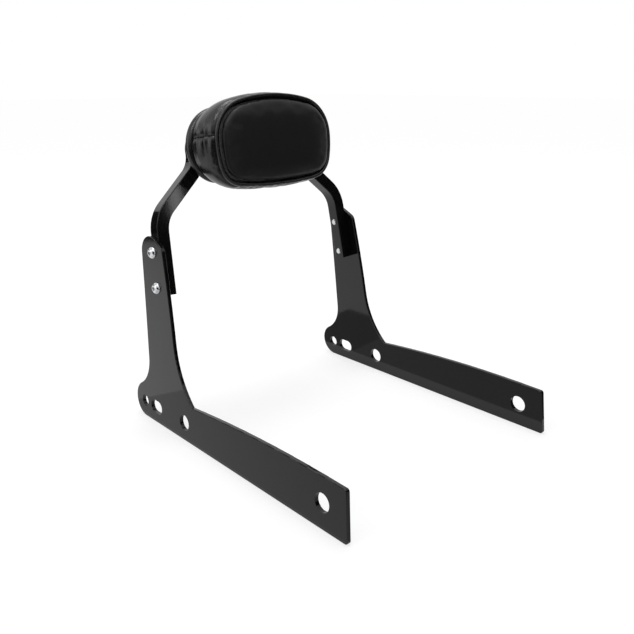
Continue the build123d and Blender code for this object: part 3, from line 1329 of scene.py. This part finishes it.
@dataclass
class Stitching:
    """Rows of stitches along seam lines, made by one geometry tree.

    Args:
        pitch: distance between stitches.
        length: length of one stitch.
        radius: half the thread's thickness.
        shortest: share of the length that the shortest stitch has.
        longest: share of the length that the longest one has.
        segments: faces round a stitch.
        rings: rows of faces along it.
    """

    pitch: float = 0.0034
    length: float = 0.0028
    radius: float = 0.00035
    shortest: float = 0.9
    longest: float = 1.08
    segments: int = 8
    rings: int = 6

    def __post_init__(self) -> None:
        """Builds the tree: lines, evenly spaced points, one stitch on each."""
        tree = bpy.data.node_groups.new("stitches", "GeometryNodeTree")
        for name, kind, way in (
            ("Geometry", "NodeSocketGeometry", "INPUT"), ("Pitch", "NodeSocketFloat", "INPUT"),
            ("Stitch Length", "NodeSocketFloat", "INPUT"), ("Thread Radius", "NodeSocketFloat", "INPUT"),
            ("Thread", "NodeSocketMaterial", "INPUT"), ("Geometry", "NodeSocketGeometry", "OUTPUT"),
        ):
            tree.interface.new_socket(name=name, in_out=way, socket_type=kind)
        self.tree = tree
        graph = Graph(tree)
        source = graph.node("NodeGroupInput").outputs
        curve = graph.node("GeometryNodeMeshToCurve", {}, {"Mesh": source["Geometry"]})
        spaced = graph.node("GeometryNodeResampleCurve", {"mode": "LENGTH"}, {
            "Curve": curve.outputs["Curve"], "Length": source["Pitch"],
        })
        ball = graph.node("GeometryNodeMeshUVSphere", {}, {
            "Segments": self.segments, "Rings": self.rings, "Radius": 0.5,
        })
        tangent = graph.node("GeometryNodeInputTangent")
        turned = graph.node("FunctionNodeAlignRotationToVector", {"axis": "X"}, {
            "Vector": tangent.outputs[0],
        })
        varied = graph.node("FunctionNodeRandomValue", {"data_type": "FLOAT"}, {
            "Min": self.shortest, "Max": self.longest, "Seed": SEED,
        })
        long = Term(graph, source["Stitch Length"]) * Term(graph, varied.outputs["Value"])
        thick = Term(graph, source["Thread Radius"]) * 2.0
        size = graph.node("ShaderNodeCombineXYZ", {}, {"X": long, "Y": thick, "Z": thick})
        placed = graph.node("GeometryNodeInstanceOnPoints", {}, {
            "Points": spaced.outputs["Curve"], "Instance": ball.outputs["Mesh"],
            "Rotation": turned.outputs["Rotation"], "Scale": size.outputs["Vector"],
        })
        real = graph.node("GeometryNodeRealizeInstances", {}, {"Geometry": placed.outputs["Instances"]})
        rounded = graph.node("GeometryNodeSetShadeSmooth", {}, {"Geometry": real.outputs["Geometry"]})
        coloured = graph.node("GeometryNodeSetMaterial", {}, {
            "Geometry": rounded.outputs["Geometry"], "Material": source["Thread"],
        })
        graph.node("NodeGroupOutput", {}, {"Geometry": coloured.outputs["Geometry"]})

    def sew(self, name: str, lines: list[tuple[np.ndarray, bool]]) -> bpy.types.Object:
        """Sews stitches along lines.

        Args:
            name: the piece's name.
            lines: points of each line, and whether it is closed.

        Returns:
            The stitches as one plain mesh.
        """
        points, edges, start = [], [], 0
        for line, closed in lines:
            points.append(line)
            edges += [(start + step, start + step + 1) for step in range(len(line) - 1)]
            if closed:
                edges.append((start + len(line) - 1, start))
            start += len(line)
        piece = new_mesh(name, np.vstack(points), [], edges)
        modifier = piece.modifiers.new("stitches", "NODES")
        modifier.node_group = self.tree
        values = {"Pitch": self.pitch, "Stitch Length": self.length, "Thread Radius": self.radius,
                  "Thread": THREAD.material()}
        for item in self.tree.interface.items_tree:
            if item.in_out == "INPUT" and item.name in values:
                modifier[item.identifier] = values[item.name]
        bake(piece)
        return piece


@dataclass(frozen=True)
class PanelProfile:
    """Section of the front panel before its stuffing, ahead of the front seam.

    Insets are measured from the groove between the border roll and the panel.

    Args:
        gap: width of the groove.
        foot: where the panel starts.
        foot_inset: inset of its rear edge.
        wall_inset: inset of its wall at the foot.
        edge_start: where its rounded edge starts.
        edge_inset: inset there.
        edge_rise: depth of the rounded edge.
        edge_width: width of the rounded edge.
        edge_steps: rings over the rounded edge.
        crown: rise of the face towards its middle.
        face_shares: sizes of the face's rings.
        held_depth: depth ahead of which the panel is free to swell.
        held_fade: distance behind it over which the hold grows to full.
        step: distance between its points round the pad.
        voxel: size of its remeshed faces.
    """

    gap: float = 0.0002
    foot: float = 0.0030
    foot_inset: float = 0.0040
    wall_inset: float = 0.0005
    edge_start: float = 0.0055
    edge_inset: float = 0.0006
    edge_rise: float = 0.0060
    edge_width: float = 0.0090
    edge_steps: int = 7
    crown: float = 0.0008
    face_shares: tuple[float, ...] = (0.85, 0.65, 0.45, 0.25)
    held_depth: float = 0.0050
    held_fade: float = 0.0015
    step: float = 0.0025
    voxel: float = 0.0026

    def rings(self, seam: float, roll_width: float) -> list[Ring]:
        """Rings of the closed form.

        Args:
            seam: depth of the front seam.
            roll_width: width of the border roll.

        Returns:
            Depth, growth and size of each ring, from the rear.
        """
        inset = roll_width + self.gap
        back = [(self.foot, -inset - self.foot_inset, 1.0), (self.foot, -inset - self.wall_inset, 1.0)]
        edge = [(self.edge_start + self.edge_rise * math.sin(angle),
                 -inset - self.edge_inset - self.edge_width * (1 - math.cos(angle)), 1.0)
                for angle in np.linspace(0.0, math.pi / 2, self.edge_steps)]
        top = self.edge_start + self.edge_rise
        face = [(top + self.crown * (1 - share ** 2), -inset - self.edge_inset - self.edge_width, share)
                for share in self.face_shares]
        return [(seam + depth, grow, share) for depth, grow, share in back + edge + face]

    def hold(self, depth: np.ndarray) -> np.ndarray:
        """Hold on points at these depths ahead of the front seam, 1 at the foot and 0 on the face."""
        return np.clip((self.held_depth - depth) / self.held_fade, 0.0, 1.0)


@dataclass(frozen=True)
class CoreProfile:
    """Section of the foam core, from the board's front to the panel.

    Args:
        rear_gap: how far its rear face lies behind the rear seam.
        rear_inset: inset of that face.
        end_inset: inset of its sides at the seams.
        front_inset: inset of its front face.
        shares: places of its side rings, from -1 at the rear seam to 1 at the front one.
        step: distance between its points round the pad.
    """

    rear_gap: float = 0.0006
    rear_inset: float = 0.0160
    end_inset: float = 0.0050
    front_inset: float = 0.0065
    shares: tuple[float, ...] = (-0.95, -0.6, -0.2, 0.2, 0.6, 0.95)
    step: float = 0.004

    def rings(self, start: float, end: float) -> list[Ring]:
        """Rings of the closed form.

        Args:
            start: depth of the rear seam.
            end: depth of the front seam.

        Returns:
            Depth, growth and size of each ring, from the rear.
        """
        half = (end - start) / 2
        sides = [(start + half * (1 + share), -self.end_inset * share ** 2, 1.0) for share in self.shares]
        return [(start - self.rear_gap, -self.rear_inset, 1.0)] + sides + [(end, -self.front_inset, 1.0)]


@dataclass
class SteelFrame:
    """Side plates, hoop, mount plate, board and fasteners, which keep their CAD shapes.

    Args:
        finishes: finish of the nodes whose names start like this.
    """

    finishes: dict[str, Finish] = field(default_factory=lambda: {
        "side_plate": GLOSS_BLACK, "hoop_bar": GLOSS_BLACK, "pad_mount_plate": GLOSS_BLACK,
        "hoop_screw": BRIGHT_CHROME, "pad_screw": BLACK_OXIDE, "pad_washer": ZINC, "pad_insert": ZINC,
        "pad_board": PLYWOOD,
    })

    def dress(self) -> None:
        """Gives each CAD node its finish."""
        for start, finish in self.finishes.items():
            for name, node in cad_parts.items():
                if name.startswith(start):
                    dress(node, finish)
                    LOG.info("dressed %s", name)


@dataclass
class Backrest:
    """The pad's soft pieces.

    Args:
        panel: section of the front panel.
        core: section of the foam core.
        panel_stuffing: simulation of the front panel.
        cover_stuffing: simulation of the side cover.
        seam_setback: how far the front seam lies behind the CAD border roll.
        relax_steps: rounds of smoothing on the stuffed panel.
        relax_factor: strength of one round.
        lining_voxel: size of the rear lining's faces.
    """

    panel: PanelProfile = PanelProfile()
    core: CoreProfile = CoreProfile()
    panel_stuffing: Stuffing = field(default_factory=Stuffing)
    cover_stuffing: Stuffing = field(default_factory=lambda: Stuffing(growth=0.008, bending=3.0))
    seam_setback: float = 0.0010
    relax_steps: int = 4
    relax_factor: float = 0.5
    lining_voxel: float = 0.0008

    def __post_init__(self) -> None:
        """Reads the pad's place and size from its CAD nodes, and gives its outlines the photograph's form."""
        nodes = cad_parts
        pad = PadFrame.from_cover(nodes["pad_rear_cover"])
        roll = pad.local(vertices_of(nodes["pad_border_roll"]))
        low, high = roll.min(0), roll.max(0)
        half = (high - low) / 2
        rear, front = (Loaf(*(fit.quarter(half[0], half[1]) for fit in fits))
                       for fits in (REAR_FITS, FRONT_FITS))
        self.shape = PadShape(pad, rear, front, front_seam=float(low[2]) - self.seam_setback)
        self.cover = Cover(self.shape)

    def build(self) -> None:
        """Builds and sews every soft piece."""
        self.build_panel()
        cover = self.build_cover()
        self.sew(cover)
        bpy.data.objects.remove(cover)
        self.build_core()
        self.build_lining()

    def finish_piece(self, piece: bpy.types.Object, finish: Finish, node: str) -> None:
        """Args:
            piece: the piece.
            finish: its finish.
            node: the CAD node that it stands for.
        """
        dress(piece, finish)
        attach(piece, BODY)
        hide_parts(node)
        LOG.info("built %s", piece.name)

    def build_panel(self) -> None:
        """Front panel: a plump form inside the border roll, remeshed, stuffed and smoothed."""
        seam = self.shape.front_seam
        rings = self.panel.rings(seam, self.cover.roll_width)
        piece = self.shape.closed("front_panel", rings, self.panel.step)
        add_remesh(piece, self.panel.voxel)
        bake(piece)
        local = self.shape.pad.local(vertices_of(piece))
        depth = local[:, 2] - self.shape.slope * local[:, 1] - seam
        self.panel_stuffing.run(piece, self.panel.hold(depth))
        relax = piece.modifiers.new("relax", "SMOOTH")
        relax.iterations = self.relax_steps
        relax.factor = self.relax_factor
        add_subdivision(piece)
        bake(piece)
        piece.data.shade_smooth()
        self.finish_piece(piece, PANEL_VINYL, "pad_front_panel")

    def build_cover(self) -> bpy.types.Object:
        """Side cover: simulated as one tube, cut into rear roll, two band halves and border roll.

        Returns:
            The tube, which the seams are read from.
        """
        cover = self.cover
        tube = cover.build()
        self.cover_stuffing.run(tube, cover.held())
        band = (cover.rear_row, cover.front_row)
        parts = [
            ("rear_roll", (0, cover.rear_row), None),
            ("band_upper", band, (0, cover.upper_columns)),
            ("band_lower", band, (cover.upper_columns, cover.columns)),
            ("border_roll", (cover.front_row, cover.rows - 1), None),
        ]
        for name, rows, columns in parts:
            self.finish_piece(cover.cut(tube, name, rows, columns), BAND_VINYL, "pad_" + name)
        return tube

    def sew(self, tube: bpy.types.Object) -> None:
        """Sews the seams of the cover.

        Args:
            tube: the cover, as simulated.
        """
        piece = Stitching().sew("seam_stitches", self.cover.seam_lines(tube))
        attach(piece, BODY)
        LOG.info("sewed %s", piece.name)

    def build_core(self) -> None:
        """Foam core, which the cover hides."""
        rings = self.core.rings(self.shape.rear_seam, self.shape.front_seam)
        piece = self.shape.closed("foam_core", rings, self.core.step)
        piece.data.shade_smooth()
        self.finish_piece(piece, FOAM, "pad_foam")

    def build_lining(self) -> None:
        """Cloth on the pad's rear, drawn tight over the board."""
        piece = bpy.data.objects.new("rear_lining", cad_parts["pad_rear_cover"].data.copy())
        bpy.context.scene.collection.objects.link(piece)
        add_remesh(piece, self.lining_voxel)
        bake(piece)
        piece.data.shade_smooth()
        self.finish_piece(piece, LINING, "pad_rear_cover")


@dataclass(frozen=True)
class Screen:
    """Flat rectangle of the studio, which faces a point.

    Args:
        name: its name.
        kind: what it does.
        place: its middle.
        target: the point that it faces.
        size: its two sides.
        level: a lamp's watts, a dark card's grey, or the glow of a painted reflection card.
    """

    name: str
    kind: ScreenKind
    place: Place
    target: Place
    size: tuple[float, float]
    level: float


def painted_floor_reflection(name: str, right_front: tuple[float, float], left_rear: tuple[float, float],
               level: float) -> Screen:
    """Card that lies just over the floor.

    Args:
        name: its name.
        right_front: its corner with the least X and Y.
        left_rear: its corner with the most.
        level: its glow, the painted level of the floor in the reflections.

    Returns:
        The card, which only the gloss surfaces see; it lights nothing and casts no shadow.
    """
    lift = 0.002
    middle = [(low + high) / 2 for low, high in zip(right_front, left_rear)]
    size = (left_rear[0] - right_front[0], left_rear[1] - right_front[1])
    return Screen(name, ScreenKind.PAINTED_REFLECTION, (*middle, lift), (*middle, 0.0), size, level)


OBJECT_MIDDLE = (0.0, 0.0, 0.2)
PAD_MIDDLE = (-0.09, 0.10, 0.36)
CARD_TONE = 0.03
# Glow of the darkest painted reflections, which paint shade into the gloss surfaces.
PAINTED_DARK_REFLECTION = 0.02
SCREENS = (
    Screen("top_softbox", ScreenKind.LAMP, (0.15, 0.35, 2.2), OBJECT_MIDDLE, (0.8, 0.8), 12.0),
    Screen("side_softbox", ScreenKind.LAMP, (-2.2, 0.6, 1.3), OBJECT_MIDDLE, (1.2, 1.6), 7.0),
    Screen("front_card", ScreenKind.CARD, (0.60, -0.72, 0.40), (-0.05, 0.10, 0.3), (1.3, 0.8), CARD_TONE),
    Screen("left_card", ScreenKind.CARD, (-0.78, 1.22, 0.325), (-0.15, 0.10, 0.3), (1.6, 0.6), CARD_TONE),
    Screen("camera_card", ScreenKind.CARD, (-1.10, -1.15, 0.50), (0.0, 0.0, 0.3), (1.6, 1.0), CARD_TONE),
    # Painted reflections of the floor: painted shade in the reflections of the hoop's front faces, the
    # plates, the pad's underside and the chrome screw heads.
    painted_floor_reflection("front_painted_floor_reflection", (0.20, -0.56), (0.76, -0.12), PAINTED_DARK_REFLECTION),
    painted_floor_reflection("side_painted_floor_reflection", (-0.417, -0.35), (-0.167, 0.22), 0.75),
    painted_floor_reflection("middle_painted_floor_reflection", (-0.16, -0.35), (0.14, 0.15), 0.50),
    painted_floor_reflection("rear_painted_floor_reflection", (0.02, 0.15), (0.14, 0.28), 0.35),
    painted_floor_reflection("near_painted_floor_reflection", (-1.175, -1.02), (-0.025, -0.29), PAINTED_DARK_REFLECTION),
    # Painted highlights: glowing cards that only the gloss surfaces see, a bright band on the hoop's front
    # face and a highlight on the pad's top corner.
    Screen("front_painted_highlight", ScreenKind.PAINTED_REFLECTION, (0.265, -0.488, 0.392), (-0.115, 0.150, 0.265),
           (0.030, 0.070), 4.8),
    Screen("corner_painted_highlight", ScreenKind.PAINTED_REFLECTION, (-0.60, -0.28, 1.50), PAD_MIDDLE, (0.38, 0.38), 7.0),
)


@dataclass
class Studio:
    """Pale floor, white surroundings, soft lamps, the dark cards that the gloss surfaces mirror, and glowing
    cards that paint highlights and shade into the gloss surfaces' reflections alone.

    Args:
        floor_size: side of the floor in metres.
        floor_tone: grey level of the floor.
        glow: share of the floor that the camera sees the same whatever the lamps do.
        floor_white: level of that share, with which the open floor comes out white.
        fill: level of the surroundings as a light on the object.
    """

    floor_size: float = 30.0
    floor_tone: float = 0.86
    glow: float = 0.50
    floor_white: float = 1.36
    fill: float = 0.72

    def build(self) -> None:
        """Builds the floor, the world, the lamps and the cards."""
        self.build_floor()
        self.build_world()
        for screen in SCREENS:
            self.build_screen(screen)

    def build_floor(self) -> None:
        """Matt floor that the camera sees as white, with the object's shadow."""
        floor = rectangle("floor", (self.floor_size, self.floor_size))
        material, graph = new_material("floor")
        matt = graph.node("ShaderNodeBsdfDiffuse", {}, {"Color": grey(self.floor_tone)})
        light = graph.node("ShaderNodeEmission", {}, {"Color": grey(1.0), "Strength": self.floor_white})
        both = graph.node("ShaderNodeMixShader", {}, {
            0: self.seen(graph) * self.glow, 1: matt.outputs[0], 2: light.outputs[0],
        })
        graph.node("ShaderNodeOutputMaterial", {}, {"Surface": both.outputs[0]})
        floor.data.materials.append(material)

    @staticmethod
    def seen(graph: Graph) -> Term:
        """Tells the rays that see from those that carry light.

        Args:
            graph: the graph that asks.

        Returns:
            1 for camera, glossy and transmission rays, and 0 for the others.
        """
        path = graph.node("ShaderNodeLightPath").outputs
        camera = Term(graph, path["Is Camera Ray"])
        glossy = Term(graph, path["Is Glossy Ray"])
        through = Term(graph, path["Is Transmission Ray"])
        return camera.math("MAXIMUM", glossy).math("MAXIMUM", through)

    def build_world(self) -> None:
        """White surroundings that light the object at a plain level."""
        world = bpy.data.worlds.new("studio")
        bpy.context.scene.world = world
        world.use_nodes = True
        graph = Graph(world.node_tree)
        level = self.seen(graph) * (1 - self.fill) + self.fill
        sky = graph.node("ShaderNodeBackground", {}, {"Color": grey(1.0), "Strength": level})
        graph.node("ShaderNodeOutputWorld", {}, {"Surface": sky.outputs[0]})

    def build_screen(self, screen: Screen) -> None:
        """Makes a lamp or a card and turns it to its target.

        Args:
            screen: the lamp or card.
        """
        piece = self.lamp(screen) if screen.kind is ScreenKind.LAMP else self.card(screen)
        piece.location = screen.place
        way = Vector(screen.target) - Vector(screen.place)
        piece.rotation_euler = way.to_track_quat("-Z", "Y").to_euler()

    @staticmethod
    def lamp(screen: Screen) -> bpy.types.Object:
        """Makes a soft rectangular lamp.

        Args:
            screen: the lamp's size and watts.

        Returns:
            The lamp.
        """
        data = bpy.data.lights.new(screen.name, "AREA")
        data.shape = "RECTANGLE"
        data.size, data.size_y = screen.size
        data.energy = screen.level
        piece = bpy.data.objects.new(screen.name, data)
        bpy.context.scene.collection.objects.link(piece)
        return piece

    @staticmethod
    def card(screen: Screen) -> bpy.types.Object:
        """Makes a card that the camera doesn't see: a dark card, or a painted reflection that glows only for
        the gloss surfaces.

        Args:
            screen: the card's kind, size and level.

        Returns:
            The card.
        """
        piece = rectangle(screen.name, screen.size)
        material, graph = new_material(screen.name)
        if screen.kind is ScreenKind.CARD:
            shader = graph.node("ShaderNodeBsdfDiffuse", {}, {"Color": grey(screen.level)})
        else:
            # Painted reflection: glow that lights nothing, casts no shadow and shows only in the gloss
            # surfaces.
            shader = graph.node("ShaderNodeEmission", {}, {"Strength": screen.level})
            piece.visible_diffuse = False
            piece.visible_shadow = False
        graph.node("ShaderNodeOutputMaterial", {}, {"Surface": shader.outputs[0]})
        piece.data.materials.append(material)
        piece.visible_camera = False
        return piece


@dataclass
class PhotoCamera:
    """Camera at the photograph's place and angle.

    Args:
        place: its place.
        look: the direction that it looks in.
        lens: focal length in millimetres.
        sensor: width of the square picture on the sensor, in millimetres.
        nearest: distance from which it sees.
    """

    place: Place = (-0.5574, -0.5859, 0.4025)
    look: Place = (0.6361, 0.7052, -0.3132)
    lens: float = 40.92
    sensor: float = 36.0
    nearest: float = 0.01

    def build(self) -> None:
        """Makes the camera and hands it to the scene."""
        data = bpy.data.cameras.new("photo_camera")
        data.lens = self.lens
        data.sensor_width = self.sensor
        data.clip_start = self.nearest
        camera = bpy.data.objects.new("photo_camera", data)
        bpy.context.scene.collection.objects.link(camera)
        camera.location = self.place
        camera.rotation_euler = Vector(self.look).to_track_quat("-Z", "Y").to_euler()
        bpy.context.scene.camera = camera


def main() -> None:
    """Builds the stage, dresses the steel and builds the pad."""
    logging.basicConfig(level=logging.INFO, format="%(name)s: %(message)s")
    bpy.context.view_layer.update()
    bpy.context.scene.view_settings.view_transform = "Standard"
    PhotoCamera().build()
    Studio().build()
    SteelFrame().dress()
    Backrest().build()


if __name__ == "__main__":
    main()
